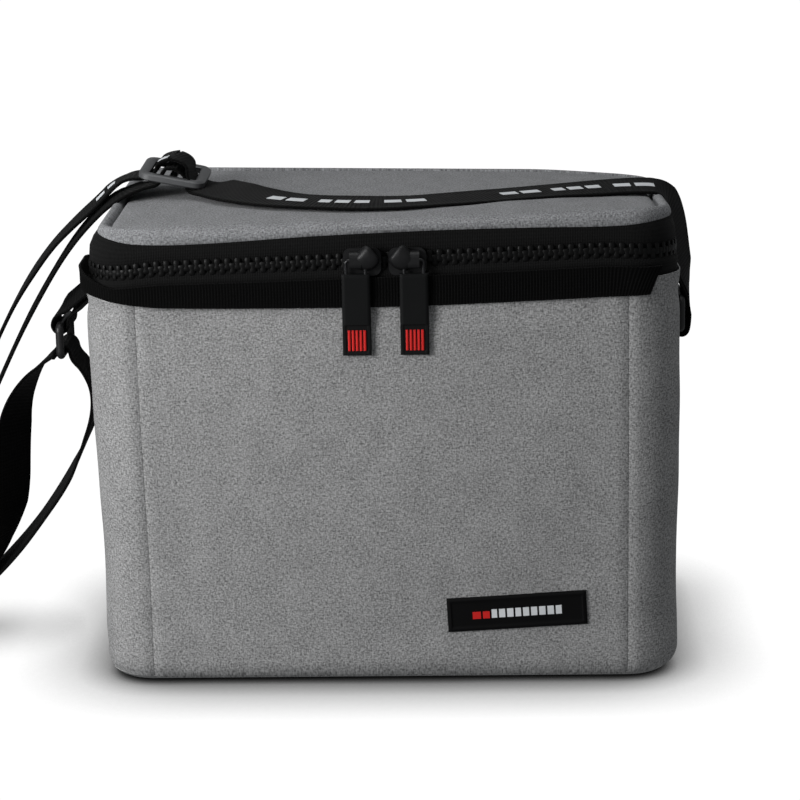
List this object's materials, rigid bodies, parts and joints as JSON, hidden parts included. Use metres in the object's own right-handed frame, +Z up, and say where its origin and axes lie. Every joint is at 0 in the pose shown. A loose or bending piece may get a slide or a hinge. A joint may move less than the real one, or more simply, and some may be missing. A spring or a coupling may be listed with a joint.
{
  "type": "insulated lunch bag",
  "caption": "Soft insulated lunch bag: rounded grey fabric box with a hinged padded lid, a double-slider zip round three sides, a silver liner and an adjustable webbing shoulder strap.",
  "frame": {"origin": "centre of the flat base, on the surface that the bag stands on", "axes": "+X to the right when looking at the front, +Y from the front to the hinged back, +Z up"},
  "size_m": [0.3396, 0.1555, 0.2012],
  "materials": {
    "grey_fabric": "melange woven polyester",
    "foam": "closed-cell PE foam",
    "liner": "silver heat-sealed PEVA film",
    "board": "matte PP stiffener",
    "webbing": "ribbed polyester webbing",
    "zip_tape": "woven zip tape",
    "zip_teeth": "moulded acetal teeth",
    "slider_metal": "black enamelled die-cast zinc, stood in by gloss plastic",
    "bail_wire": "black-nickel wire",
    "pull_rubber": "matte moulded PVC",
    "pull_red": "matte moulded PVC",
    "label_rubber": "moulded PVC patch",
    "ring_metal": "gunmetal plated wire",
    "adjuster_metal": "satin gunmetal"
  },
  "bodies": {
    "root": {"front_panel": "grey_fabric", "back_panel": "grey_fabric", "left_side_panel": "grey_fabric", "right_side_panel": "grey_fabric", "base_panel": "grey_fabric", "base_board": "board", "base_foam": "foam", "front_foam": "foam", "back_foam": "foam", "left_foam": "foam", "right_foam": "foam", "inner_liner": "liner", "rim_binding": "zip_tape", "rim_band": "webbing", "label_patch": "label_rubber", "lower_zip_teeth": "zip_teeth", "lower_zip_tape": "zip_tape", "back_hinge_strip": "zip_tape", "left_zip_stop": "zip_teeth", "right_zip_stop": "zip_teeth", "left_ring": "ring_metal", "right_ring": "ring_metal", "left_ring_tab": "webbing", "right_ring_tab": "webbing", "left_ring_wrap": "webbing", "right_ring_wrap": "webbing", "strap_outer_strand": "webbing", "strap_inner_strand": "webbing", "strap_right_side": "webbing"},
    "lid": {"lid_side_band": "grey_fabric", "lid_lining": "liner", "lid_foam": "foam", "lid_top_panel": "grey_fabric", "lid_rim_piping": "grey_fabric", "upper_zip_teeth": "zip_teeth", "upper_zip_tape": "zip_tape", "lid_hinge_strip": "zip_tape", "strap_over_lid": "webbing", "strap_adjuster": "adjuster_metal"},
    "left_slider": {"left_slider": "slider_metal"},
    "right_slider": {"right_slider": "slider_metal"},
    "left_pull": {"left_bail": "bail_wire", "left_pull": "pull_rubber", "left_pull_tip": "pull_red"},
    "right_pull": {"right_bail": "bail_wire", "right_pull": "pull_rubber", "right_pull_tip": "pull_red"}
  },
  "joints": [
    {"name": "lid_hinge", "type": "hinge", "parent": "root", "child": "lid", "pos_m": [0, 0.072, 0.181], "axis": [-1, 0, 0], "range_deg": [0, 110]},
    {"name": "left_slider_travel", "type": "slide", "parent": "root", "child": "left_slider", "axis": [-1, 0, 0], "range_m": [0, 0.08]},
    {"name": "right_slider_travel", "type": "slide", "parent": "root", "child": "right_slider", "axis": [1, 0, 0], "range_m": [0, 0.078]},
    {"name": "left_pull_hinge", "type": "hinge", "parent": "left_slider", "child": "left_pull", "pos_m": [-0.01, -0.0775, 0.1776], "axis": [-1, 0, 0], "range_deg": [0, 140]},
    {"name": "right_pull_hinge", "type": "hinge", "parent": "right_slider", "child": "right_pull", "pos_m": [0.013, -0.0775, 0.1776], "axis": [-1, 0, 0], "range_deg": [0, 140]}
  ]
}
